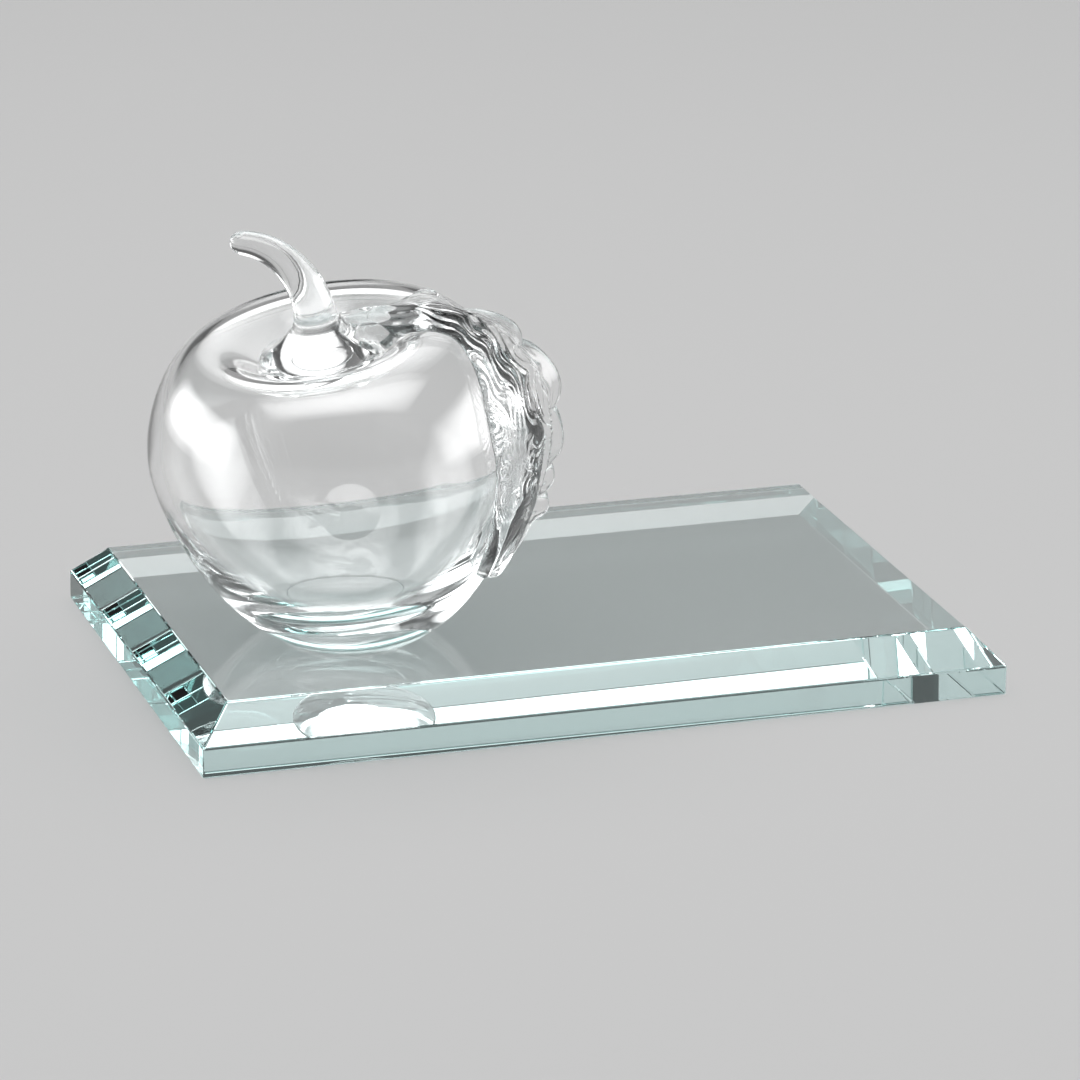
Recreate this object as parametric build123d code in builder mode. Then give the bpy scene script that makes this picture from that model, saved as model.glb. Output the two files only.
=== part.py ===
from build123d import *

import os
from math import atan2, ceil, degrees, exp, pi, sin, sqrt

# A blown glass apple with an applied stem and leaf, bonded to a bevelled glass plinth.
# Millimetres, +Z up, +X along the plinth, origin at the centre of the plinth's underside.

# Plinth
PLINTH_LENGTH = 178.0
PLINTH_DEPTH = 114.0
PLINTH_SIDE = 6.5  # upright side below the bevel
BEVEL_RISE = 7.2
BEVEL_RUN = 7.0
PLINTH_ARRIS = 0.6  # polished arris on the corners and the lower edges

# Adhesive film under the apple
FILM_THICKNESS = 0.15
FILM_SETBACK = 0.6  # the film stops short of the rim of the ground foot

# Place and lean of the apple on the plinth
APPLE_FROM_LEFT = 49.4  # plinth's left edge to the apple's bottom pole
APPLE_FROM_FRONT = 44.0
LEAN_LEFT = 11.0
LEAN_FORWARD = 4.0
LEAF_HEADING = -26.0  # turn of the leaf's meridian about the apple's axis

# Apple body, measured along its own leaning axis from the unground bottom pole
APPLE_RADIUS = 40.0
EQUATOR_HEIGHT = 48.5
EQUATOR_ROUND = 20.0  # radius of curvature at the equator
BOTTOM_FULLNESS = 0.725
SHOULDER_HEIGHT = 24.3  # equator to crest
SHOULDER_WIDTH = 16.5  # equator to crest, along the radius
SHOULDER_FULLNESS = 0.545
DIMPLE_DEPTH = 6.5
DIMPLE_FULLNESS = 0.55
BLOW_HOLE_RADIUS = 5.0
WALL = 2.8
FOOT_WALL = 4.5  # glass left above the ground foot
FOOT_GRIND = 3.6  # depth ground away at the bottom pole

# Stem
NECK_RISE = 4.2  # top of the flare above the crest
NECK_RADIUS = 4.5
STEM_RISE = 17.3  # neck to tip
STEM_REACH = 15.2  # sideways, away from the leaf
TIP_RADIUS = 2.3
TIP_ROUNDING = 0.7  # share of the tip's radius
FLARE_RADIUS = 18.0
FLARE_KNEE = 0.5  # share of the flare's radius, and of the dimple's depth, at its knee
NECK_DROP = 0.75  # share of the neck's rise that stays steep
ROD_STRAIGHT = 0.43  # share of the rise before the rod bends
ROD_BEND = 0.3  # share of the reach at which it has come up to its height
ROD_CREST = 0.98
STEM_SECTIONS = 7

# Leaf, with distances along the apple's meridian from the crest
STALK_LIFT = 1.0  # spine of the stalk above the crest, at the stem
STALK_NEAR = 4.5  # half widths of the stalk
STALK_FAR = 6.5
STALK_HEIGHT = 4.0
STALK_START_SHARE = 0.45  # size of the stalk at the stem, as a share of its full size
STALK_SPREAD = 12.0  # length in which it comes to its full size
STALK_ROOT = 7.0  # depth that it sags into the dimple
STALK_SAG = 10.0  # length from the crest in which it comes to that depth
EAR_AT = -2.0  # basal lobe that lies on the crest at the far side
EAR_SPAN = 5.0
EAR_REACH = 5.5
EAR_RISE = 1.5
BLADE_START = 6.0
BLADE_RISE = 24.0  # length in which the blade comes to its full width
LOBE_START = 4.5
LOBE_LENGTHS = (14.0, 14.8, 12.0, 4.7, 4.8)
LOBE_RISES = (2.7, 3.6, 3.4, 2.6, 3.6)
LOBE_FRONT = 0.6  # each lobe rises with this power of the way along it
LOBE_BREAK = 6  # and breaks off with this one
LOBE_REACH = 0.6  # outward swing of the margin for each unit of rise
TIP_LENGTH = 9.2
TIP_ROUND = 2.2  # length in which the tip rounds off
TIP_SHRINK = 0.8
TAIL_LENGTH = 20.0
TAIL_DRIFT = 11.0  # sideways drift of the tail towards the front
TAIL_CURVE = 1.35
NEAR_WIDTH = 17.0
NEAR_SWELL = 1.3
NEAR_HEIGHT = 2.8
NEAR_EDGE = 1.0
FAR_WIDTH = 11.0
FAR_LIFT = 6.8  # height of the far margin above the apple, between its lobes
LIFT_SWELL = 0.8
LIFT_LEFT = 0.2  # share of the lift that is left at the tip
TIP_HALF_WIDTH = 4.2
MIDRIB_HEIGHT = 6.0
MIDRIB_CREST = 20.0  # place from which the midrib falls towards the tail
TAIL_HEIGHT = 2.2
VALLEY_DEPTH = 0.9  # hollow between the midrib and the far margin
MARGIN_THICKNESS = 2.0
LEAF_ROOT = 1.6  # depth of the sections under the spine before they are cut to the apple
FLAP_START = 0.3  # share of the far half that lies on the apple
SECTION_PITCH = 3.0

# Worked out heights and frames
plinth_height = PLINTH_SIDE + BEVEL_RISE
foot_height = plinth_height + FILM_THICKNESS
crest_radius = APPLE_RADIUS - SHOULDER_WIDTH
crest_height = EQUATOR_HEIGHT + SHOULDER_HEIGHT
dimple_height = crest_height - DIMPLE_DEPTH
neck_height = crest_height + NECK_RISE
cavity_pole = FOOT_GRIND + FOOT_WALL
leaf_length = LOBE_START + sum(LOBE_LENGTHS) + TIP_LENGTH
apple_seat = Location(
    (APPLE_FROM_LEFT - PLINTH_LENGTH / 2, APPLE_FROM_FRONT - PLINTH_DEPTH / 2, foot_height - FOOT_GRIND),
    (LEAN_FORWARD, -LEAN_LEFT, LEAF_HEADING),
)
apple_frame = Plane(apple_seat)
apple_axis = Axis(apple_frame.origin, apple_frame.z_dir)
# Local x of the profile plane is the radius towards the leaf and local y the height on the axis
profile_plane = Plane(apple_frame.origin, x_dir=apple_frame.x_dir, z_dir=-apple_frame.y_dir)
# The round forms are turned from the opposite side, which keeps their seams clear of the leaf
turning_plane = Plane(apple_frame.origin, x_dir=-apple_frame.x_dir, z_dir=apple_frame.y_dir)


def apple_curves(inset, pole_height):
    """The apple's outline from the bottom pole to the blow hole, moved inwards by inset.

    The handles at the equator and the crest give both curves that meet there the same curvature."""
    radius = APPLE_RADIUS - inset
    crest = crest_height - inset
    floor = dimple_height - inset
    bottom_handle = BOTTOM_FULLNESS * radius
    lower_handle = sqrt(2 / 3 * (radius - bottom_handle) * EQUATOR_ROUND)
    crest_handle = SHOULDER_FULLNESS * (radius - crest_radius)
    upper_handle = sqrt(2 / 3 * (radius - crest_radius - crest_handle) * EQUATOR_ROUND)
    dimple_handle = crest_handle * sqrt(DIMPLE_DEPTH / (crest - EQUATOR_HEIGHT - upper_handle))
    floor_handle = DIMPLE_FULLNESS * (crest_radius - BLOW_HOLE_RADIUS)
    flank = Bezier(
        (0, pole_height),
        (bottom_handle, pole_height),
        (radius, EQUATOR_HEIGHT - lower_handle),
        (radius, EQUATOR_HEIGHT),
    )
    shoulder = Bezier(
        (radius, EQUATOR_HEIGHT),
        (radius, EQUATOR_HEIGHT + upper_handle),
        (crest_radius + crest_handle, crest),
        (crest_radius, crest),
    )
    Bezier(
        (crest_radius, crest),
        (crest_radius - dimple_handle, crest),
        (BLOW_HOLE_RADIUS + floor_handle, floor),
        (BLOW_HOLE_RADIUS, floor),
    )
    return flank, shoulder


# Plinth: a flat slab with a wide polished bevel all round its top
with BuildPart() as plinth:
    with BuildSketch():
        Rectangle(PLINTH_LENGTH, PLINTH_DEPTH)
    extrude(amount=PLINTH_SIDE)
    with BuildSketch(Plane.XY.offset(PLINTH_SIDE)):
        Rectangle(PLINTH_LENGTH, PLINTH_DEPTH)
    extrude(amount=BEVEL_RISE, taper=degrees(atan2(BEVEL_RUN, BEVEL_RISE)))
    lower_edges = plinth.faces().sort_by(Axis.Z)[0].edges()
    upright_edges = plinth.edges().filter_by(Axis.Z)
    chamfer(lower_edges + upright_edges, PLINTH_ARRIS)

# The apple's full outer form, which the leaf is pressed on to
with BuildPart() as apple_form:
    with BuildSketch(turning_plane):
        with BuildLine():
            apple_curves(0, 0)
            Polyline((BLOW_HOLE_RADIUS, dimple_height), (0, dimple_height), (0, 0))
        make_face()
    revolve(axis=apple_axis)

# Apple body: a hollow blown shell with its blow hole in the dimple and its foot ground flat
with BuildPart() as apple_body:
    with BuildSketch(turning_plane):
        with BuildLine():
            apple_curves(0, 0)
            Line((BLOW_HOLE_RADIUS, dimple_height), (BLOW_HOLE_RADIUS, dimple_height - WALL))
            apple_curves(WALL, cavity_pole)
            Line((0, cavity_pole), (0, 0))
        make_face()
    revolve(axis=apple_axis)
    split(bisect_by=Plane.XY.offset(foot_height), keep=Keep.TOP)

# Adhesive film between the ground foot and the plinth
foot_face = apple_body.faces().filter_by(Axis.Z).sort_by(Axis.Z)[0]
foot_box = foot_face.bounding_box()
film_radius = min(foot_box.size.X, foot_box.size.Y) / 2 - FILM_SETBACK
with BuildPart() as bond_film:
    with BuildSketch(Plane.XY.offset(plinth_height)):
        with Locations((foot_box.center().X, foot_box.center().Y)):
            Circle(film_radius)
    extrude(amount=FILM_THICKNESS)

# Line of the stem's rod, which bends away from the leaf
with BuildLine(profile_plane) as stem_line:
    rod_path = Bezier(
        (0, neck_height),
        (0, neck_height + STEM_RISE * ROD_STRAIGHT),
        (-STEM_REACH * ROD_BEND, neck_height + STEM_RISE * ROD_CREST),
        (-STEM_REACH, neck_height + STEM_RISE),
    )

# Stem: a flare that fills the dimple and plugs the blow hole, drawn up into a bent tapering rod
with BuildPart() as stem:
    with BuildSketch(turning_plane):
        with BuildLine():
            Line((0, neck_height), (NECK_RADIUS, neck_height))
            Bezier(
                (NECK_RADIUS, neck_height),
                (NECK_RADIUS, neck_height - NECK_RISE * NECK_DROP),
                (FLARE_RADIUS * FLARE_KNEE, dimple_height + DIMPLE_DEPTH * FLARE_KNEE),
                (FLARE_RADIUS, dimple_height),
            )
            Polyline((FLARE_RADIUS, dimple_height), (0, dimple_height), (0, neck_height))
        make_face()
    revolve(axis=apple_axis)
    add(apple_form.part, mode=Mode.SUBTRACT)
    with BuildSketch(apple_frame.offset(dimple_height)):
        Circle(BLOW_HOLE_RADIUS)
    extrude(amount=-WALL)
    for section in range(STEM_SECTIONS):
        share = section / (STEM_SECTIONS - 1)
        with BuildSketch(Plane(rod_path @ share, x_dir=apple_frame.y_dir, z_dir=rod_path % share)):
            Circle(NECK_RADIUS + (TIP_RADIUS - NECK_RADIUS) * share)
    loft()
    tip_face = stem.faces().sort_by_distance(rod_path @ 1)[0]
    fillet(tip_face.edges(), TIP_RADIUS * TIP_ROUNDING)

# Spine of the leaf, from the stem over the crest and down the apple's flank
with BuildLine(profile_plane) as stalk_line:
    stalk_curve = Bezier(
        (0, crest_height + STALK_LIFT),
        (crest_radius / 3, crest_height + STALK_LIFT),
        (crest_radius * 2 / 3, crest_height),
        (crest_radius, crest_height),
    )
with BuildLine(profile_plane) as meridian:
    flank_curve, shoulder_curve = apple_curves(0, 0)


def spine_plane(distance):
    """Plane across the leaf at a distance along the meridian from the crest, or back along the stalk."""
    if distance < 0:
        share = 1 + distance / stalk_curve.length
        return Plane(stalk_curve @ share, x_dir=apple_frame.y_dir, z_dir=stalk_curve % share)
    if distance < shoulder_curve.length:
        curve, share = shoulder_curve, 1 - distance / shoulder_curve.length
    else:
        curve, share = flank_curve, 1 - (distance - shoulder_curve.length) / flank_curve.length
    return Plane(curve @ share, x_dir=apple_frame.y_dir, z_dir=-(curve % share))


def lobe_rise(distance):
    """Height that the lobes add to the far margin."""
    start = LOBE_START
    for length, height in zip(LOBE_LENGTHS, LOBE_RISES):
        if start < distance < start + length:
            way = (distance - start) / length
            return height * way**LOBE_FRONT * (1 - way**LOBE_BREAK)
        start += length
    return 0


def leaf_section(distance):
    """Outline points of the leaf across its spine, x to the far side and y away from the apple."""
    plane = spine_plane(distance)
    rise = sin(pi / 2 * min(max((distance - BLADE_START) / BLADE_RISE, 0), 1))
    taper = max(1 - (leaf_length - distance) / TAIL_LENGTH, 0) ** TAIL_CURVE
    wane = max((distance - MIDRIB_CREST) / (leaf_length - MIDRIB_CREST), 0)
    lobe = lobe_rise(distance)
    ear = exp(-(((distance - EAR_AT) / EAR_SPAN) ** 2))
    spread = min((distance + stalk_curve.length) / STALK_SPREAD, 1)
    swell = STALK_START_SHARE + (1 - STALK_START_SHARE) * spread
    near = STALK_NEAR * swell + (NEAR_WIDTH - STALK_NEAR) * rise**NEAR_SWELL
    near += (TIP_HALF_WIDTH - near) * taper
    far = STALK_FAR * swell + (FAR_WIDTH - STALK_FAR) * rise + EAR_REACH * ear
    far += (TIP_HALF_WIDTH - far) * taper + LOBE_REACH * lobe
    ridge = STALK_HEIGHT * swell + (MIDRIB_HEIGHT - STALK_HEIGHT) * rise - (MIDRIB_HEIGHT - TAIL_HEIGHT) * wane
    sag = (STALK_ROOT - LEAF_ROOT) * min(max(-distance / STALK_SAG, 0), 1)
    root = LEAF_ROOT + sag
    lift = (FAR_LIFT - NEAR_EDGE) * rise**LIFT_SWELL * (1 - (1 - LIFT_LEFT) * taper)
    lift += NEAR_EDGE + EAR_RISE * ear + lobe
    axis_distance = apple_frame.to_local_coords(plane.origin).X
    bend = plane.y_dir.dot(apple_frame.x_dir) / axis_distance if distance > 0 else 0
    rib = -TAIL_DRIFT * taper
    near_edge, far_edge = rib - near, rib + far
    near_middle, far_middle = rib - near / 2, rib + far / 2
    flap = rib + far * FLAP_START

    def skin(x):
        return -(x**2) * bend / 2

    margin = skin(far_edge) + lift
    top = [
        (near_edge, skin(near_edge) + NEAR_EDGE),
        (near_middle, skin(near_middle) + NEAR_HEIGHT),
        (rib, skin(rib) + ridge),
        (far_middle, (skin(rib) + ridge + margin) / 2 - VALLEY_DEPTH * rise),
        (far_edge, margin),
    ]
    under = [
        (far_edge, margin - MARGIN_THICKNESS - sag),
        (flap, skin(flap) - root),
        (near_middle, skin(near_middle) - root),
        (near_edge, skin(near_edge) - root),
    ]
    nub = sqrt(1 - TIP_SHRINK * max(1 - (leaf_length - distance) / TIP_ROUND, 0) ** 2)

    def rounded(points):
        return [(rib + (x - rib) * nub, skin(rib) + (y - skin(rib)) * nub) for x, y in points]

    return plane, rounded(top), rounded(under)


def leaf_sketch(distance):
    section_plane, top, under = leaf_section(distance)
    with BuildSketch(section_plane) as section:
        with BuildLine():
            Spline(*top)
            Line(top[-1], under[0])
            Spline(*under)
            Line(under[-1], top[0])
        make_face()
    return section.sketch


def stations_between(start, end):
    """Distances from start up to end, without end itself, with at least one between them."""
    count = max(ceil((end - start) / SECTION_PITCH), 2)
    return [start + (end - start) * k / count for k in range(count)]


stations = stations_between(-stalk_curve.length, LOBE_START)
lobe_start = LOBE_START
for lobe_length in LOBE_LENGTHS:
    stations += stations_between(lobe_start, lobe_start + lobe_length)
    lobe_start += lobe_length
stations += stations_between(lobe_start, leaf_length - TIP_ROUND)
stations += stations_between(leaf_length - TIP_ROUND, leaf_length) + [leaf_length]

# Leaf: a stalk and a crimped blade lofted along the spine, then cut to the apple and the stem
with BuildPart() as leaf:
    loft([leaf_sketch(station) for station in stations], ruled=True)
    add(apple_form.part, mode=Mode.SUBTRACT)
    add(stem.part, mode=Mode.SUBTRACT)

os.makedirs("parts", exist_ok=True)
plinth.part.label = "plinth"
export_step(plinth.part, "parts/plinth.step")
bond_film.part.label = "bond_film"
export_step(bond_film.part, "parts/bond_film.step")
apple_body.part.label = "apple_body"
export_step(apple_body.part, "parts/apple_body.step")
stem.part.label = "stem"
export_step(stem.part, "parts/stem.step")
leaf.part.label = "leaf"
export_step(leaf.part, "parts/leaf.step")
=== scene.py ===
from math import cos, exp, pi, radians, sin, sqrt

import bpy
from mathutils import Matrix, Vector, noise
from mathutils.bvhtree import BVHTree


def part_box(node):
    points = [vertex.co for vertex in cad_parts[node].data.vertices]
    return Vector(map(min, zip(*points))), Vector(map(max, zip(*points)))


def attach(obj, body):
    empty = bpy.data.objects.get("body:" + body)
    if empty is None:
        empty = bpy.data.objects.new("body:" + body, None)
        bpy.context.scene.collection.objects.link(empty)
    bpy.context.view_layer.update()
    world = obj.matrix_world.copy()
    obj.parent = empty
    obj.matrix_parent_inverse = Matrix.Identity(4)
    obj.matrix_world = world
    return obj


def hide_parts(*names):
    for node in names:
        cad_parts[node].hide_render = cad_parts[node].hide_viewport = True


# A blown glass apple with an applied stem and leaf, bonded to a bevelled glass plinth.
# Lengths are millimetres unless a comment says otherwise, and MM turns them into metres.
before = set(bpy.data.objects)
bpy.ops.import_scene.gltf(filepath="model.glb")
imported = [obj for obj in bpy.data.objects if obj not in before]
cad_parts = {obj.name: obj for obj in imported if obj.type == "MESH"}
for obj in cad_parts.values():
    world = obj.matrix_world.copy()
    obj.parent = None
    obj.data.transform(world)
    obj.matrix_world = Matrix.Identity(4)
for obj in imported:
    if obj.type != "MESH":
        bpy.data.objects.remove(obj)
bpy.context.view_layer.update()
MM = 0.001
SINK = 0.15  # how far fused glass reaches into its neighbour
FILM_SINK = SINK / 2  # how far the film reaches into the plinth and the apple
FOOT_SINK = SINK / 4  # how far the foot reaches into the film
MERGE = 0.004  # points closer than this are one
TINY = 1e-9
FACING = 0.9  # a face whose normal has more than this upwards or downwards is level
CREASE = radians(35)  # edges sharper than this stay sharp

# Camera, fitted to the plinth's corners
CAMERA_AZIMUTH = radians(-18.72)
CAMERA_ELEVATION = radians(19.13)
CAMERA_ROLL = radians(1.0)
CAMERA_DISTANCE = 1198.5
CAMERA_RIGHT = 2.472
CAMERA_UP = 23.04
CAMERA_LENS = 182.5

# Plinth
PLINTH_SIDE = 6.5
BEVEL_RUN = 7.0
PLINTH_ARRIS = 0.35
ARRIS_STEPS = 3

# Adhesive film
FILM_RIM = 0.4
FILM_STEPS = 96

# Apple, as in the solids
APPLE_X, APPLE_Y = -39.6, -13.0
LEAN_LEFT, LEAN_FORWARD, LEAF_HEADING = 11.0, 4.0, -26.0
APPLE_RADIUS = 40.0
EQUATOR_HEIGHT = 48.5
EQUATOR_ROUND = 20.0
BOTTOM_FULLNESS = 0.725
SHOULDER_HEIGHT, SHOULDER_WIDTH, SHOULDER_FULLNESS = 24.3, 16.5, 0.545
DIMPLE_DEPTH, DIMPLE_FULLNESS = 6.5, 0.55
BLOW_HOLE_RADIUS = 5.0
WALL, FOOT_WALL, FOOT_GRIND = 2.8, 4.5, 3.6
APPLE_STEPS = 192
PROFILE_STEPS = 36  # along each curve of its outline

# Stem
NECK_RISE, NECK_RADIUS = 4.2, 4.5
STEM_RISE, STEM_REACH = 17.25, 15.2
TIP_RADIUS = 2.3
FLARE_RADIUS, FLARE_KNEE, NECK_DROP = 18.0, 0.5, 0.75
ROD_STRAIGHT, ROD_BEND, ROD_CREST = 0.43, 0.3, 0.98
PLUG_SINK = 0.03  # how far the plug reaches into the wall of the blow hole
SEAM_MARGIN = 1.0  # how far the fused joint stays inside the flare's edge
PLUG_END_STEPS, PLUG_STEPS, FLARE_STEPS, ROD_STEPS, TIP_STEPS = 6, 5, 60, 60, 12
STEM_FACETS = 22
RING_NUDGE = 0.002  # keeps rings at one height apart

# Leaf, with distances along the apple's meridian from the crest
STALK_LIFT, STALK_NEAR, STALK_FAR, STALK_HEIGHT = 1.0, 4.5, 6.5, 4.0
STALK_START_SHARE, STALK_SPREAD, STALK_ROOT, STALK_SAG = 0.45, 12.0, 7.0, 10.0
STALK_START = 5.0  # distance from the stem's axis
EAR_AT, EAR_SPAN, EAR_REACH, EAR_RISE = -2.0, 5.0, 5.5, 1.5
BLADE_START, BLADE_RISE = 6.0, 24.0
LOBE_START = 4.5
LOBE_LENGTHS = (14.0, 14.8, 12.0, 4.7, 4.8)
LOBE_RISES = (2.7, 3.6, 3.4, 2.6, 3.6)
LOBE_FRONT, LOBE_BREAK, LOBE_REACH = 0.6, 6, 0.6
TIP_LENGTH, TIP_ROUND, TIP_SHRINK = 9.2, 2.2, 0.8
TAIL_LENGTH, TAIL_DRIFT, TAIL_CURVE = 20.0, 11.0, 1.35
NEAR_WIDTH, NEAR_SWELL, NEAR_HEIGHT, NEAR_EDGE = 17.0, 1.3, 2.8, 1.0
FAR_WIDTH, FAR_LIFT, LIFT_SWELL, LIFT_LEFT = 11.0, 6.8, 0.8, 0.2
TIP_HALF_WIDTH, MIDRIB_HEIGHT, MIDRIB_CREST, TAIL_HEIGHT = 4.2, 6.0, 20.0, 2.2
VALLEY_DEPTH, MARGIN_THICKNESS, LEAF_ROOT, FLAP_START = 0.9, 2.0, 1.6, 0.3
RIM_ROUND = 1.0  # radius that the margins are rounded over
RIM_CROWDING = 0.35  # how much closer the points lie at the margins
LEAF_STATIONS, LEAF_ROUND, LEAF_TOP_SHARE = 300, 160, 0.66
LOOK_FROM = 15.0  # height above the spine from which the ground under the leaf is looked for
GROUND_STEPS, GROUND_ROUND = 60, 240

# Fine relief of the leaf: side veins, which bend slowly and curl quickly
VEIN_SEED = 23
VEIN_PITCH, VEIN_DEPTH, VEIN_SLANT = 1.6, 0.22, 0.25
VEIN_BEND, VEIN_SWIRL, VEIN_CURL = 2.5, 6.0, 1.8
VEIN_UNEVEN = 0.6  # share by which their depth varies
VEINS_FROM, VEINS_FULL = -6.0, 10.0
SWIRL_FROM, SWIRL_FULL = 12.0, 36.0
VEINS_FADE, VEINS_GONE = 0.4, 0.75  # shares of the far half width
BEND_LENGTH, BEND_WIDTH, BEND_LAYER = 9.0, 7.0, 3.1
CURL_LENGTH, CURL_WIDTH, CURL_LAYER = 4.5, 4.0, 8.4
# The cord along the midrib, the lines drawn along the stalk and the flutes of the tail
CORD_HEIGHT, CORD_WIDTH, CORD_FROM, CORD_FULL = 0.9, 0.8, 4.0, 20.0
DRAWN_PITCH, DRAWN_DEPTH, DRAWN_BEND = 2.6, 0.12, 0.8
FLUTE_FROM, FLUTE_FULL, FLUTE_DEPTH = 42.0, 52.0, 2.0
FLUTE_PITCH, FLUTE_AT = 0.83, -0.56  # shares of the half width
FLUTE_LEVEL = 0.6  # share of a flute's depth that lies under the blade's own height

# Glass
GLASS_IOR = 1.52
GLASS_CLOUDED, GLASS_CLEAR = (0.985, 0.99, 0.99, 1), (1, 1, 1, 1)
CLOUD_SCALE, CLOUD_DETAIL, CLOUD_ROUGHNESS = 90.0, 4.0, 0.6  # clouds to the metre
RIPPLE_DETAIL = 2.0
SHADOW_TINT = (0.93, 0.94, 0.94, 1)
BLOWN_TINT, PLINTH_TINT, FILM_TINT = (0.86, 0.95, 0.95, 1), (0.55, 0.92, 0.90, 1), (0.9, 0.95, 0.93, 1)

# Studio, in metres: a pale floor that fades into a surround, pale low down and dim above
FLOOR_TONE, FLOOR_MOTTLE, FLOOR_GRAIN = 0.68, 0.98, 3.0
FLOOR_SIZE = 6.0
FLOOR_GAP = 0.3 * MM
FLOOR_ROUGHNESS = 0.9
FADE_FROM, FADE_TO = 0.8, 1.8
SURROUND_PALE, SURROUND_DIM = 0.5, 0.1
PALE_BELOW, DIM_ABOVE = sin(radians(2)), sin(radians(10))
# Softboxes: place to the right of the apple, away from the camera and up, then size, radiance and softness
SOFTBOXES = {
    "left_softbox": ((-0.77, 0.12, 0.15), (1.05, 0.46), 6.0, 0.8),
    "right_softbox": ((0.77, 0.12, 0.15), (1.05, 0.46), 6.0, 0.8),
    "back_softbox": ((0.0, 0.46, 0.71), (0.9, 1.1), 2.4, 0.5),
    "front_softbox": ((0.0, -0.24, 0.81), (1.4, 0.66), 5.5, 0.6),
}
BOX_AIM = 60 * MM  # height on the apple that they face
FILL_HEIGHT, FILL_SIZE, FILL_RADIANCE = 1.6, (2.6, 2.6), 1.7

crest_radius = APPLE_RADIUS - SHOULDER_WIDTH
crest_height = EQUATOR_HEIGHT + SHOULDER_HEIGHT
dimple_height = crest_height - DIMPLE_DEPTH
neck_height = crest_height + NECK_RISE
leaf_length = LOBE_START + sum(LOBE_LENGTHS) + TIP_LENGTH
foot_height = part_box("bond_film")[1][2] / MM
apple_place = (
    Matrix.Translation((APPLE_X, APPLE_Y, foot_height - FOOT_GRIND))
    @ Matrix.Rotation(radians(LEAN_FORWARD), 4, "X")
    @ Matrix.Rotation(radians(-LEAN_LEFT), 4, "Y")
    @ Matrix.Rotation(radians(LEAF_HEADING), 4, "Z")
)


# Curves of the apple
def apple_handles(inset, pole_height):
    """Control points, as (radius, height), of the three curves from the bottom pole to the blow hole."""
    radius = APPLE_RADIUS - inset
    crest = crest_height - inset
    floor = dimple_height - inset
    bottom = BOTTOM_FULLNESS * radius
    lower = sqrt(2 / 3 * (radius - bottom) * EQUATOR_ROUND)
    top = SHOULDER_FULLNESS * (radius - crest_radius)
    upper = sqrt(2 / 3 * (radius - crest_radius - top) * EQUATOR_ROUND)
    dimple = top * sqrt(DIMPLE_DEPTH / (crest - EQUATOR_HEIGHT - upper))
    throat = DIMPLE_FULLNESS * (crest_radius - BLOW_HOLE_RADIUS)
    equator = (radius, EQUATOR_HEIGHT)
    ring = (crest_radius, crest)
    flank = [(0, pole_height), (bottom, pole_height), (radius, EQUATOR_HEIGHT - lower), equator]
    shoulder = [equator, (radius, EQUATOR_HEIGHT + upper), (crest_radius + top, crest), ring]
    hole = (BLOW_HOLE_RADIUS, floor)
    hollow = [ring, (crest_radius - dimple, crest), (BLOW_HOLE_RADIUS + throat, floor), hole]
    return flank, shoulder, hollow


def on_bezier(points, t):
    """Point and direction of a cubic curve at t."""
    a, b, c, d = (Vector(p) for p in points)
    s = 1 - t
    point = a * s**3 + b * 3 * s * s * t + c * 3 * s * t * t + d * t**3
    direction = (b - a) * s * s + (c - b) * 2 * s * t + (d - c) * t * t
    return point, direction.normalized()


class Route:
    """Cubic curves in a row, read by the distance along them."""

    SAMPLES = 240

    def __init__(self, *curves):
        self.marks = [(0.0, curves[0], 0.0)]
        for curve in curves:
            before = on_bezier(curve, 0)[0]
            for k in range(1, self.SAMPLES + 1):
                t = k / self.SAMPLES
                here = on_bezier(curve, t)[0]
                self.marks.append((self.marks[-1][0] + (here - before).length, curve, t))
                before = here
        self.length = self.marks[-1][0]

    def at(self, distance):
        """Point and direction at a distance from the start."""
        low, high = 0, len(self.marks) - 1
        while high - low > 1:
            middle = (low + high) // 2
            low, high = (middle, high) if self.marks[middle][0] <= distance else (low, middle)
        start, end = self.marks[low], self.marks[high]
        share = min(max((distance - start[0]) / max(end[0] - start[0], TINY), 0), 1)
        from_t = start[2] if start[1] is end[1] else 0.0
        return on_bezier(end[1], from_t + (end[2] - from_t) * share)


# Steps that every modelled piece shares
def alone():
    bpy.ops.object.select_all(action="DESELECT")


def editing(select="SELECT"):
    bpy.ops.object.mode_set(mode="EDIT")
    bpy.ops.mesh.select_mode(type="VERT")
    bpy.ops.mesh.select_all(action=select)


def finished(piece, name, node, finish):
    """Closes the mesh's seams, turns its faces outwards, and hands the piece to the frame."""
    editing()
    bpy.ops.mesh.remove_doubles(threshold=MERGE * MM)
    bpy.ops.mesh.normals_make_consistent(inside=False)
    bpy.ops.object.mode_set(mode="OBJECT")
    bpy.ops.object.shade_smooth()
    piece.name = piece.data.name = name
    piece.data.materials.clear()
    piece.data.materials.append(finish)
    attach(piece, "root")
    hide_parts(node)
    return piece


def fuse(piece, buried):
    """Marks the faces inside a fused joint, which light crosses as if no surface were there."""
    mark = piece.data.attributes.new("fused", "FLOAT", "FACE")
    back = apple_place.inverted()
    for face, value in zip(piece.data.polygons, mark.data):
        at = back @ (face.center / MM)
        value.value = float(buried(at.xy.length, at.z))


def put_on_apple(piece):
    """Moves a mesh that was drawn on the apple's own axes, in millimetres, to its place in the frame."""
    piece.data.transform(Matrix.Scale(MM, 4) @ apple_place)
    piece.data.update()


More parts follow.
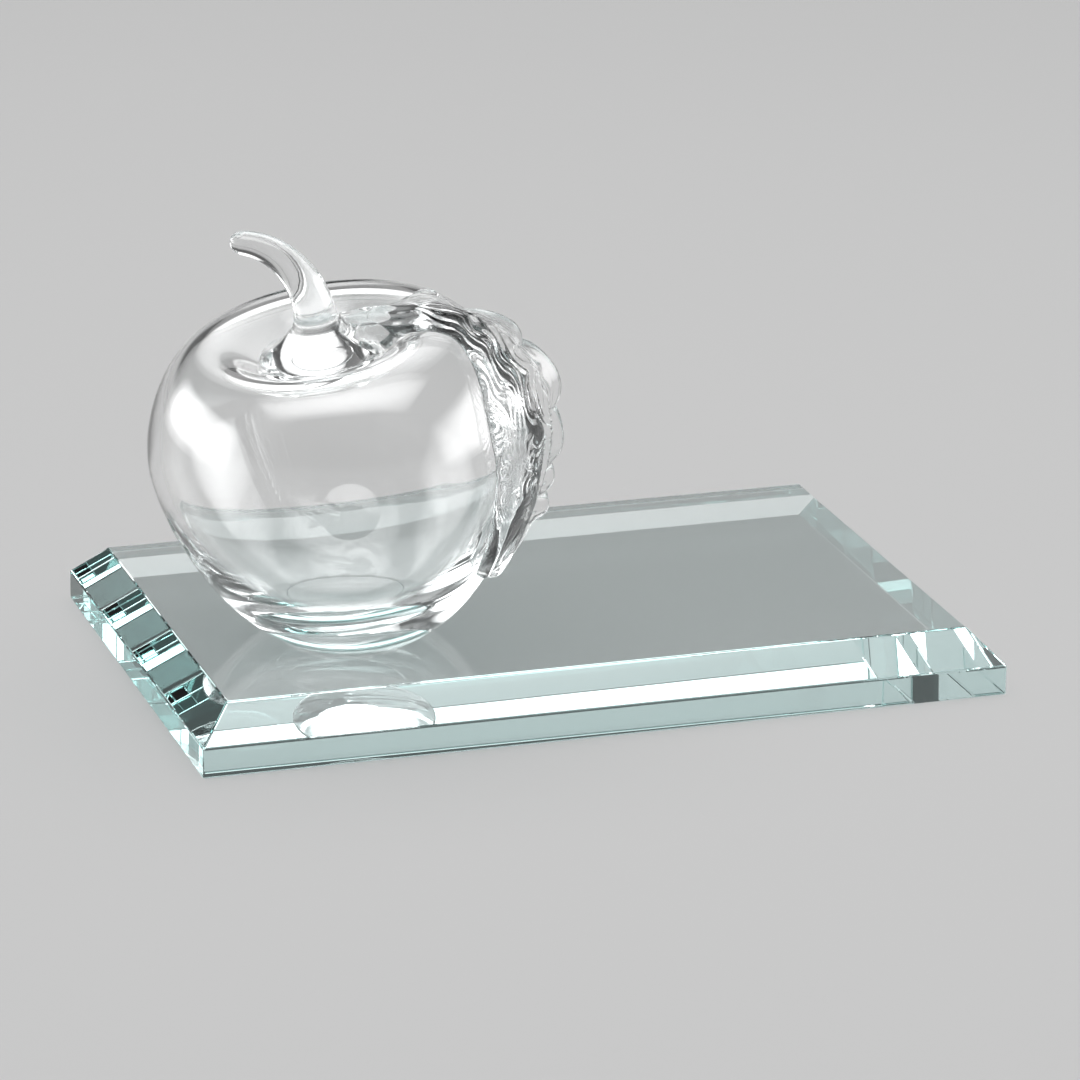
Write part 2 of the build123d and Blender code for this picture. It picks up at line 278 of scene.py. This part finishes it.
# Shader arithmetic
class Socket:
    """A shader socket; arithmetic on it adds Math nodes."""

    def __init__(self, socket):
        self.socket = socket

    def math(self, operation, first, second):
        node = add_node(self.socket.id_data, "Math", {"operation": operation}, {0: first, 1: second})
        return Socket(node.outputs[0])

    def __rsub__(self, other):
        return self.math("SUBTRACT", other, self)

    def __mul__(self, other):
        return self.math("MULTIPLY", self, other)

    __rmul__ = __mul__


def add_node(tree, kind, settings, inputs):
    """Adds a shader node, makes its settings, then sets or links its sockets."""
    node = tree.nodes.new("ShaderNode" + kind)
    for name, value in settings.items():
        setattr(node, name, value)
    for key, value in inputs.items():
        if isinstance(value, Socket):
            tree.links.new(value.socket, node.inputs[key])
        else:
            node.inputs[key].default_value = value
    return node


def clear_glass(name, tint, shade, ripple, wave, haze):
    """Clear glass.

    tint and shade are the colour and strength of its absorption, ripple and wave the depth and length of the
    waves on its surface, and haze the most that its clouds roughen it."""
    finish = bpy.data.materials.new(name)
    finish.use_nodes = True
    tree = finish.node_tree
    tree.nodes.clear()
    place = Socket(add_node(tree, "TexCoord", {}, {}).outputs["Object"])
    ripples = {"Vector": place, "Scale": 1 / (wave * MM), "Detail": RIPPLE_DETAIL}
    waves = Socket(add_node(tree, "TexNoise", {}, ripples).outputs["Fac"])
    clouds = {"Vector": place, "Scale": CLOUD_SCALE, "Detail": CLOUD_DETAIL, "Roughness": CLOUD_ROUGHNESS}
    cloud = Socket(add_node(tree, "TexNoise", {}, clouds).outputs["Fac"])
    bump = add_node(tree, "Bump", {}, {"Strength": 1.0, "Distance": ripple * MM, "Height": waves})
    colour = add_node(
        tree, "Mix", {"data_type": "RGBA"}, {"Factor": cloud, "A": GLASS_CLOUDED, "B": GLASS_CLEAR}
    )
    glass = add_node(
        tree,
        "BsdfPrincipled",
        {},
        {
            "Base Color": Socket(colour.outputs["Result"]),
            "Roughness": cloud * haze,
            "IOR": GLASS_IOR,
            "Transmission Weight": 1.0,
            "Normal": Socket(bump.outputs["Normal"]),
        },
    )
    shade_through = add_node(tree, "BsdfTransparent", {}, {"Color": SHADOW_TINT})
    path = add_node(tree, "LightPath", {}, {})
    lamp_ray = Socket(path.outputs["Is Shadow Ray"])
    floor_ray = Socket(path.outputs["Is Diffuse Ray"])
    open_glass = add_node(
        tree,
        "MixShader",
        {},
        {
            0: lamp_ray.math("MAXIMUM", lamp_ray, floor_ray),
            1: Socket(glass.outputs[0]),
            2: Socket(shade_through.outputs[0]),
        },
    )
    fused = Socket(add_node(tree, "Attribute", {"attribute_name": "fused"}, {}).outputs["Fac"])
    no_surface = add_node(tree, "BsdfTransparent", {}, {})
    mix = add_node(
        tree,
        "MixShader",
        {},
        {0: fused, 1: Socket(open_glass.outputs[0]), 2: Socket(no_surface.outputs[0])},
    )
    body = add_node(tree, "VolumeAbsorption", {}, {"Color": tint, "Density": shade})
    end = add_node(tree, "OutputMaterial", {}, {})
    tree.links.new(mix.outputs[0], end.inputs["Surface"])
    tree.links.new(body.outputs[0], end.inputs["Volume"])
    return finish


plinth_finish = clear_glass("cut_plinth_glass", PLINTH_TINT, shade=5.0, ripple=0.002, wave=30, haze=0.01)
apple_finish = clear_glass("blown_apple_glass", BLOWN_TINT, shade=4.0, ripple=0.02, wave=18, haze=0.01)
stem_finish = clear_glass("drawn_stem_glass", BLOWN_TINT, shade=4.0, ripple=0.03, wave=3, haze=0.01)
leaf_finish = clear_glass("crimped_leaf_glass", BLOWN_TINT, shade=4.0, ripple=0.02, wave=2, haze=0.02)
film_finish = clear_glass("clear_adhesive", FILM_TINT, shade=4.0, ripple=0.01, wave=4, haze=0.03)


# Plinth: a slab raised to a bevelled table, with every arris polished off
def make_plinth():
    low, high = (Vector(corner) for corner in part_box("plinth"))
    size = high - low
    side = PLINTH_SIDE * MM
    run = BEVEL_RUN * MM
    alone()
    bpy.ops.mesh.primitive_cube_add(size=1)
    slab = bpy.context.object
    editing()
    middle = ((low.x + high.x) / 2, (low.y + high.y) / 2, low.z + side / 2)
    bpy.ops.transform.resize(value=(size.x, size.y, side))
    bpy.ops.transform.translate(value=middle)
    bpy.ops.mesh.select_mode(type="FACE")
    bpy.ops.mesh.select_all(action="DESELECT")
    bpy.ops.object.mode_set(mode="OBJECT")
    for face in slab.data.polygons:
        face.select = face.normal.z > FACING
    bpy.ops.object.mode_set(mode="EDIT")
    bpy.ops.mesh.extrude_region_move(TRANSFORM_OT_translate={"value": (0, 0, size.z - side)})
    taper = ((size.x - 2 * run) / size.x, (size.y - 2 * run) / size.y, 1)
    bpy.ops.transform.resize(value=taper, center_override=(middle[0], middle[1], high.z))
    bpy.ops.mesh.select_all(action="SELECT")
    bpy.ops.mesh.bevel(
        offset=PLINTH_ARRIS * MM, offset_type="OFFSET", segments=ARRIS_STEPS, affect="EDGES"
    )
    bpy.ops.object.mode_set(mode="OBJECT")
    finished(slab, "bevelled_plinth", "plinth", plinth_finish)
    bpy.ops.object.shade_flat()


# Film: a thin disc of cured adhesive that wets both faces
def make_film():
    low, high = (Vector(corner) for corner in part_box("bond_film"))
    middle = (low + high) / 2
    alone()
    bpy.ops.mesh.primitive_cylinder_add(
        vertices=FILM_STEPS,
        radius=(high.x - low.x) / 2,
        depth=high.z - low.z + 2 * FILM_SINK * MM,
        location=middle,
        end_fill_type="NGON",
    )
    film = bpy.context.object
    bpy.ops.object.transform_apply(location=True, rotation=True, scale=True)
    editing()
    bpy.ops.mesh.select_mode(type="FACE")
    bpy.ops.mesh.select_all(action="DESELECT")
    bpy.ops.object.mode_set(mode="OBJECT")
    for face in film.data.polygons:
        face.select = abs(face.normal.z) > FACING
    bpy.ops.object.mode_set(mode="EDIT")
    bpy.ops.mesh.inset(thickness=FILM_RIM * MM)
    bpy.ops.object.mode_set(mode="OBJECT")
    finished(film, "adhesive_film", "bond_film", film_finish)


# Apple: the outline is drawn as a curve, spun on its axis, set leaning and ground flat
def make_apple():
    outer = apple_handles(0, 0)
    inner = apple_handles(WALL, FOOT_GRIND + FOOT_WALL)
    hole_top, hole_low = outer[2][3], inner[2][3]
    drop = Vector(hole_low) - Vector(hole_top)
    wall = [hole_top, Vector(hole_top) + drop / 3, Vector(hole_top) + drop * 2 / 3, hole_low]
    back = [list(reversed(curve)) for curve in reversed(inner)]
    curves = [*outer, wall, *back]
    alone()
    bpy.ops.curve.primitive_bezier_curve_add()
    drawn = bpy.context.object
    line = drawn.data.splines[0]
    line.bezier_points.add(len(curves) + 1 - len(line.bezier_points))
    for k, point in enumerate(line.bezier_points):
        point.handle_left_type = point.handle_right_type = "FREE"
        at = curves[k][0] if k < len(curves) else curves[-1][3]
        before = curves[k - 1][2] if k > 0 else at
        after = curves[k][1] if k < len(curves) else at
        point.handle_left = (before[0], 0, before[1])
        point.co = (at[0], 0, at[1])
        point.handle_right = (after[0], 0, after[1])
    drawn.data.resolution_u = PROFILE_STEPS
    bpy.ops.object.convert(target="MESH")
    apple = bpy.context.object
    editing()
    bpy.ops.mesh.spin(steps=APPLE_STEPS, angle=2 * pi, center=(0, 0, 0), axis=(0, 0, 1))
    bpy.ops.mesh.select_all(action="SELECT")
    bpy.ops.mesh.remove_doubles(threshold=MERGE)
    bpy.ops.object.mode_set(mode="OBJECT")
    put_on_apple(apple)
    editing()
    bpy.ops.mesh.normals_make_consistent(inside=False)
    ground_at = (0, 0, (foot_height - FOOT_SINK) * MM)
    bpy.ops.mesh.bisect(plane_co=ground_at, plane_no=(0, 0, 1), use_fill=True, clear_inner=True)
    bpy.ops.object.mode_set(mode="OBJECT")
    finished(apple, "blown_apple", "apple_body", apple_finish)
    bpy.ops.object.shade_smooth_by_angle(angle=CREASE)
    surface = dimple_line()
    seam = seam_radius()

    def under_stem(radius, height):
        hole_wall = radius < BLOW_HOLE_RADIUS and height > dimple_height - 2 * WALL
        return hole_wall or (radius < seam and height > height_on(surface, radius) - WALL / 2)

    fuse(apple, under_stem)


# Stem: plug, flare and rod are one run of rings, each with its own radius
def flare_line():
    """The flare's upper side, as (radius, height), from where it meets the dimple up to the neck."""
    flare = [
        (NECK_RADIUS, neck_height),
        (NECK_RADIUS, neck_height - NECK_RISE * NECK_DROP),
        (FLARE_RADIUS * FLARE_KNEE, dimple_height + DIMPLE_DEPTH * FLARE_KNEE),
        (FLARE_RADIUS, dimple_height),
    ]
    upper = [on_bezier(flare, k / FLARE_STEPS)[0] for k in range(FLARE_STEPS, -1, -1)]
    edge = next(k for k, p in enumerate(upper) if p[1] > height_on(dimple_line(), p[0]))
    return upper[edge:]


def seam_radius():
    """Radius inside which the flare and the dimple are one glass."""
    return flare_line()[0][0] - SEAM_MARGIN


def dimple_line():
    """The dimple's surface, as (radius, height), from the blow hole out to the crest."""
    hollow = apple_handles(0, 0)[2]
    return [on_bezier(hollow, 1 - k / PROFILE_STEPS)[0] for k in range(PROFILE_STEPS + 1)]


def stem_rings():
    """(centre x, height, radius) of the rings on the apple's own axes."""
    inside = dimple_height - WALL
    plug = BLOW_HOLE_RADIUS + PLUG_SINK
    rings = [(0, inside, (plug - 2 * PLUG_SINK) * k / PLUG_END_STEPS) for k in range(PLUG_END_STEPS + 1)]
    rings += [(0, inside + PLUG_SINK + WALL * k / PLUG_STEPS, plug) for k in range(PLUG_STEPS)]
    upper = flare_line()
    rings += [(0, p[1] - SINK, p[0]) for p in dimple_line() if plug < p[0] < upper[0][0]]
    rings += [(0, p[1], p[0]) for p in upper]
    rod = [
        (0, neck_height),
        (0, neck_height + STEM_RISE * ROD_STRAIGHT),
        (-STEM_REACH * ROD_BEND, neck_height + STEM_RISE * ROD_CREST),
        (-STEM_REACH, neck_height + STEM_RISE),
    ]
    route = Route(rod)
    straight = route.length - TIP_RADIUS
    for k in range(1, ROD_STEPS + 1):
        distance = straight * k / ROD_STEPS
        point = route.at(distance)[0]
        radius = NECK_RADIUS + (TIP_RADIUS - NECK_RADIUS) * distance / route.length
        rings.append((point[0], point[1], radius))
    for k in range(1, TIP_STEPS + 1):
        turn = pi / 2 * k / TIP_STEPS
        point = route.at(straight + TIP_RADIUS * sin(turn))[0]
        rings.append((point[0], point[1], max(TIP_RADIUS * cos(turn), 0.0)))
    return rings


def height_on(points, radius):
    """Height of a row of points at a radius, which grows along it."""
    for before, after in zip(points, points[1:]):
        if before[0] <= radius <= after[0]:
            share = (radius - before[0]) / max(after[0] - before[0], TINY)
            return before[1] + (after[1] - before[1]) * share
    return points[-1][1]


def make_stem():
    rings = stem_rings()
    alone()
    bpy.ops.curve.primitive_nurbs_path_add()
    path = bpy.context.object
    path.data.splines.clear()
    line = path.data.splines.new("POLY")
    line.points.add(len(rings) - 1)
    for k, (point, (x, height, radius)) in enumerate(zip(line.points, rings)):
        point.co = (x, 0, height + RING_NUDGE * k / len(rings), 1)
        point.radius = radius
    path.data.bevel_depth = 1.0
    path.data.bevel_resolution = STEM_FACETS
    path.data.use_fill_caps = False
    path.data.twist_mode = "MINIMUM"
    bpy.ops.object.convert(target="MESH")
    stem = bpy.context.object
    put_on_apple(stem)
    finished(stem, "drawn_stem", "stem", stem_finish)
    bpy.ops.object.shade_smooth_by_angle(angle=CREASE)
    surface = dimple_line()
    seam = seam_radius()
    inside = dimple_height - WALL + PLUG_SINK

    def in_apple(radius, height):
        under_dimple = inside < height < height_on(surface, radius) - SINK / 2
        return BLOW_HOLE_RADIUS < radius < seam and under_dimple

    fuse(stem, in_apple)


# Leaf: a grid rolled into a tube along the spine, crimped and crinkled
stalk = Route(
    [
        (0, crest_height + STALK_LIFT),
        (crest_radius / 3, crest_height + STALK_LIFT),
        (crest_radius * 2 / 3, crest_height),
        (crest_radius, crest_height),
    ]
)
apple_curves = apple_handles(0, 0)
meridian = Route(list(reversed(apple_curves[1])), list(reversed(apple_curves[0])))


def smooth(low, high, value):
    """0 below low, 1 above high, and an even rise between."""
    share = min(max((value - low) / (high - low), 0), 1)
    return share * share * (3 - 2 * share)


def spine(distance):
    """Point and direction of the spine, as (radius, height), from the crest or back along the stalk."""
    if distance < 0:
        return stalk.at(stalk.length + distance)
    return meridian.at(distance)


def through(knots, x):
    """Height at x of a smooth line through (x, height) knots."""
    k = 0
    while k < len(knots) - 2 and x > knots[k + 1][0]:
        k += 1

    def slope(i):
        before, after = knots[max(i - 1, 0)], knots[min(i + 1, len(knots) - 1)]
        return (after[1] - before[1]) / (after[0] - before[0])

    (x0, y0), (x1, y1) = knots[k], knots[k + 1]
    step = x1 - x0
    t = (x - x0) / step
    s = 1 - t
    hermite = y0 * s * s * (1 + 2 * t) + y1 * t * t * (3 - 2 * t)
    return hermite + step * t * s * (slope(k) * s - slope(k + 1) * t)


def lobe_rise(distance):
    """Height that the lobes add to the far margin."""
    start = LOBE_START
    for length, height in zip(LOBE_LENGTHS, LOBE_RISES):
        if start < distance < start + length:
            way = (distance - start) / length
            return height * way**LOBE_FRONT * (1 - way**LOBE_BREAK)
        start += length
    return 0.0


def crinkle(distance, u, across):
    """Rise and fall of the upper side at u from the midrib, or across as a share of the half width."""
    tail = smooth(FLUTE_FROM, FLUTE_FULL, distance)
    blade = smooth(VEINS_FROM, VEINS_FULL, distance)
    warp = noise.noise_vector(Vector((distance / BEND_LENGTH, u / BEND_WIDTH, BEND_LAYER)))
    curl = noise.noise_vector(Vector((distance / CURL_LENGTH, u / CURL_WIDTH, CURL_LAYER)))
    bend = VEIN_BEND + VEIN_SWIRL * smooth(SWIRL_FROM, SWIRL_FULL, distance)
    course = abs(u) - VEIN_SLANT * distance + bend * warp.x + VEIN_CURL * curl.y
    depth = VEIN_DEPTH * (1 + VEIN_UNEVEN * curl.z) * (1 - smooth(VEINS_FADE, VEINS_GONE, across))
    veins = depth * sin(2 * pi * course / VEIN_PITCH) * blade
    cord = CORD_HEIGHT * exp(-((u / CORD_WIDTH) ** 2)) * smooth(CORD_FROM, CORD_FULL, distance)
    drawn = DRAWN_DEPTH * sin(2 * pi * (u + DRAWN_BEND * warp.y) / DRAWN_PITCH) * (1 - blade)
    flutes = FLUTE_DEPTH * (abs(sin(pi * (across - FLUTE_AT) / FLUTE_PITCH)) - FLUTE_LEVEL)
    return (veins + cord + drawn) * (1 - tail) + flutes * tail


def leaf_ring(distance, turn, ground):
    """Place of a point round the leaf, on the apple's own axes.

    turn goes from 0 to 1, over the top from the near margin to the far one and back under."""
    point, along = spine(distance)
    out = Vector((-along[1], along[0]))
    rise = sin(pi / 2 * min(max((distance - BLADE_START) / BLADE_RISE, 0), 1))
    taper = max(1 - (leaf_length - distance) / TAIL_LENGTH, 0) ** TAIL_CURVE
    wane = max((distance - MIDRIB_CREST) / (leaf_length - MIDRIB_CREST), 0)
    lobe = lobe_rise(distance)
    ear = exp(-(((distance - EAR_AT) / EAR_SPAN) ** 2))
    spread = min((distance + stalk.length) / STALK_SPREAD, 1)
    swell = STALK_START_SHARE + (1 - STALK_START_SHARE) * spread
    near = STALK_NEAR * swell + (NEAR_WIDTH - STALK_NEAR) * rise**NEAR_SWELL
    near += (TIP_HALF_WIDTH - near) * taper
    far = STALK_FAR * swell + (FAR_WIDTH - STALK_FAR) * rise + EAR_REACH * ear
    far += (TIP_HALF_WIDTH - far) * taper + LOBE_REACH * lobe
    ridge = STALK_HEIGHT * swell + (MIDRIB_HEIGHT - STALK_HEIGHT) * rise
    ridge -= (MIDRIB_HEIGHT - TAIL_HEIGHT) * wane
    sag = (STALK_ROOT - LEAF_ROOT) * min(max(-distance / STALK_SAG, 0), 1)
    root = LEAF_ROOT + sag
    lift = (FAR_LIFT - NEAR_EDGE) * rise**LIFT_SWELL * (1 - (1 - LIFT_LEFT) * taper)
    lift += NEAR_EDGE + EAR_RISE * ear + lobe
    bend = out[0] / point[0] if distance > 0 else 0.0
    rib = -TAIL_DRIFT * taper
    near_edge, far_edge = rib - near, rib + far
    flap = rib + far * FLAP_START

    def skin(x):
        return -(x**2) * bend / 2

    margin = skin(far_edge) + lift
    top = [
        (near_edge, skin(near_edge) + NEAR_EDGE),
        (rib - near / 2, skin(rib - near / 2) + NEAR_HEIGHT),
        (rib, skin(rib) + ridge),
        (rib + far / 2, (skin(rib) + ridge + margin) / 2 - VALLEY_DEPTH * rise),
        (far_edge, margin),
    ]
    under = [
        (near_edge, skin(near_edge) - root),
        (rib - near / 2, skin(rib - near / 2) - root),
        (flap, skin(flap) - root),
        (far_edge, margin - MARGIN_THICKNESS - sag),
    ]
    over = turn < LEAF_TOP_SHARE
    share = turn / LEAF_TOP_SHARE if over else (1 - turn) / (1 - LEAF_TOP_SHARE)
    crowded = (1 - cos(pi * share)) / 2
    x = near_edge + (near + far) * (share + RIM_CROWDING * (crowded - share))
    rim = min((x - near_edge) / RIM_ROUND, (far_edge - x) / RIM_ROUND, 1.0)
    rim = sqrt(max(1 - (1 - rim) ** 2, 0))
    low, high = through(under, x), through(top, x)
    u = x - rib
    high += crinkle(distance, u, u / near if u < 0 else u / far) * rim
    middle = max((low + high) / 2, high - RIM_ROUND)
    y = middle + (high - middle) * rim if over else middle - (middle - low) * rim
    nub = sqrt(1 - TIP_SHRINK * max(1 - (leaf_length - distance) / TIP_ROUND, 0) ** 2)
    x = rib + u * nub
    y = skin(rib) + (y - skin(rib)) * nub
    above = Vector((point[0] + out[0] * LOOK_FROM, x, point[1] + out[1] * LOOK_FROM))
    met = ground.ray_cast(above, Vector((-out[0], 0, -out[1])))[0]
    if met is not None:
        y = max(y, LOOK_FROM - (met - above).length - SINK)
    return Vector((point[0] + out[0] * y, x, point[1] + out[1] * y))


def ground_under_leaf():
    """Search tree over the apple's outer surface and the flare, on the apple's own axes."""
    flare = flare_line()
    line = [on_bezier(curve, k / GROUND_STEPS)[0] for curve in apple_curves for k in range(GROUND_STEPS)]
    line = [p for p in line if p[1] < dimple_height or p[0] > flare[0][0]] + flare
    turns = [2 * pi * k / GROUND_ROUND for k in range(GROUND_ROUND)]
    corners = [(r * cos(turn), r * sin(turn), height) for r, height in line for turn in turns]
    faces = []
    for i in range(len(line) - 1):
        ring, above = i * GROUND_ROUND, (i + 1) * GROUND_ROUND
        for k in range(GROUND_ROUND):
            after = (k + 1) % GROUND_ROUND
            faces.append((ring + k, ring + after, above + after, above + k))
    return BVHTree.FromPolygons(corners, faces)


def make_leaf():
    alone()
    bpy.ops.mesh.primitive_grid_add(x_subdivisions=LEAF_STATIONS, y_subdivisions=LEAF_ROUND, size=1)
    leaf = bpy.context.object
    ground = ground_under_leaf()
    first = STALK_START - stalk.length
    noise.seed_set(VEIN_SEED)
    for vertex in leaf.data.vertices:
        # The grid reaches half its size to each side of the origin
        run = vertex.co.x + 0.5
        turn = (vertex.co.y + 0.5) % 1.0
        vertex.co = leaf_ring(first + (leaf_length - first) * run, turn, ground)
    editing()
    bpy.ops.mesh.remove_doubles(threshold=MERGE)
    bpy.ops.mesh.select_all(action="DESELECT")
    bpy.ops.mesh.select_non_manifold()
    bpy.ops.mesh.fill_holes(sides=0)
    bpy.ops.object.mode_set(mode="OBJECT")
    put_on_apple(leaf)
    finished(leaf, "crimped_leaf", "leaf", leaf_finish)


make_plinth()
make_film()
make_apple()
make_stem()
make_leaf()


# Floor, lamps, surround and camera
def ramp(value, start, end, from_value=0.0, to_value=1.0):
    """A smooth step from one value to another."""
    tree = value.socket.id_data
    inputs = {"Value": value, "From Min": start, "From Max": end, "To Min": from_value, "To Max": to_value}
    step = add_node(tree, "MapRange", {"interpolation_type": "SMOOTHSTEP"}, inputs)
    return Socket(step.outputs["Result"])


def make_floor():
    alone()
    bpy.ops.mesh.primitive_plane_add(size=FLOOR_SIZE, location=(0, 0, -FLOOR_GAP))
    floor = bpy.context.object
    floor.name = "studio_floor"
    finish = bpy.data.materials.new("pale_floor")
    finish.use_nodes = True
    tree = finish.node_tree
    paint = tree.nodes["Principled BSDF"]
    place = Socket(add_node(tree, "TexCoord", {}, {}).outputs["Object"])
    grain = Socket(add_node(tree, "TexNoise", {}, {"Vector": place, "Scale": FLOOR_GRAIN}).outputs["Fac"])
    dark, pale = ((tone, tone, tone, 1) for tone in (FLOOR_TONE * FLOOR_MOTTLE, FLOOR_TONE))
    tone = add_node(tree, "Mix", {"data_type": "RGBA"}, {"Factor": grain, "A": dark, "B": pale})
    reach = Socket(add_node(tree, "VectorMath", {"operation": "LENGTH"}, {0: place}).outputs["Value"])
    tree.links.new(tone.outputs["Result"], paint.inputs["Base Color"])
    tree.links.new(ramp(reach, FADE_FROM, FADE_TO, 1.0, 0.0).socket, paint.inputs["Alpha"])
    paint.inputs["Roughness"].default_value = FLOOR_ROUGHNESS
    paint.inputs["Specular IOR Level"].default_value = 0.0
    floor.data.materials.append(finish)


def softbox(name, place, target, size, radiance, softness):
    """An area lamp that faces its target.

    radiance is how bright its middle looks, and softness how far its light fades towards its edges."""
    lamp = bpy.data.lights.new(name, "AREA")
    lamp.shape = "RECTANGLE"
    lamp.size, lamp.size_y = size
    lamp.energy = radiance * pi * size[0] * size[1]
    lamp.use_nodes = True
    tree = lamp.node_tree
    face = add_node(tree, "NewGeometry", {}, {})
    face = add_node(tree, "SeparateXYZ", {}, {0: Socket(face.outputs["Parametric"])})
    across, along = Socket(face.outputs["X"]), Socket(face.outputs["Y"])
    fade = 16 * across * (1 - across) * along * (1 - along)
    fade = fade.math("POWER", fade, softness)
    tree.links.new(fade.socket, tree.nodes["Emission"].inputs["Strength"])
    holder = bpy.data.objects.new(name, lamp)
    bpy.context.scene.collection.objects.link(holder)
    aim = Vector(target) - Vector(place)
    holder.matrix_world = Matrix.Translation(place) @ aim.to_track_quat("-Z", "Y").to_matrix().to_4x4()
    holder.visible_camera = False
    return holder


def make_lights():
    apple = Vector((APPLE_X * MM, APPLE_Y * MM, BOX_AIM))
    right = Vector((cos(CAMERA_AZIMUTH), sin(CAMERA_AZIMUTH), 0))
    away = Vector((-sin(CAMERA_AZIMUTH), cos(CAMERA_AZIMUTH), 0))
    up = Vector((0, 0, 1))
    for name, (place, size, radiance, softness) in SOFTBOXES.items():
        stand = apple + right * place[0] + away * place[1] + up * place[2]
        box = softbox(name, stand, apple, size, radiance, softness)
        box.visible_diffuse = False
    fill = softbox("floor_fill", up * FILL_HEIGHT, Vector(), FILL_SIZE, FILL_RADIANCE, 0.0)
    fill.visible_glossy = fill.visible_transmission = False


def make_surround():
    world = bpy.data.worlds.new("dim_studio")
    world.use_nodes = True
    tree = world.node_tree
    direction = add_node(tree, "TexCoord", {}, {}).outputs["Generated"]
    height = add_node(tree, "SeparateXYZ", {}, {0: Socket(direction)}).outputs["Z"]
    level = ramp(Socket(height), PALE_BELOW, DIM_ABOVE, SURROUND_PALE, SURROUND_DIM)
    tree.links.new(level.socket, tree.nodes["Background"].inputs["Color"])
    bpy.context.scene.world = world


def make_camera():
    right = Vector((cos(CAMERA_AZIMUTH), sin(CAMERA_AZIMUTH), 0))
    level = cos(CAMERA_ELEVATION)
    back = Vector((sin(CAMERA_AZIMUTH) * level, -cos(CAMERA_AZIMUTH) * level, sin(CAMERA_ELEVATION)))
    up = back.cross(right)
    right, up = (
        right * cos(CAMERA_ROLL) + up * sin(CAMERA_ROLL),
        up * cos(CAMERA_ROLL) - right * sin(CAMERA_ROLL),
    )
    eye = (right * CAMERA_RIGHT + up * CAMERA_UP + back * CAMERA_DISTANCE) * MM
    lens = bpy.data.cameras.new("photo_camera")
    lens.lens = CAMERA_LENS
    lens.sensor_width = 36.0
    lens.clip_start = 0.01
    holder = bpy.data.objects.new("photo_camera", lens)
    bpy.context.scene.collection.objects.link(holder)
    holder.matrix_world = Matrix.Translation(eye) @ Matrix((right, up, back)).transposed().to_4x4()
    bpy.context.scene.camera = holder


make_floor()
make_lights()
make_surround()
make_camera()
bpy.context.scene.view_settings.view_transform = "Standard"
# Light turns many times inside cut glass
bpy.context.scene.cycles.max_bounces = 32
bpy.context.scene.cycles.glossy_bounces = 24
bpy.context.scene.cycles.transmission_bounces = 24
bpy.context.scene.cycles.transparent_max_bounces = 64
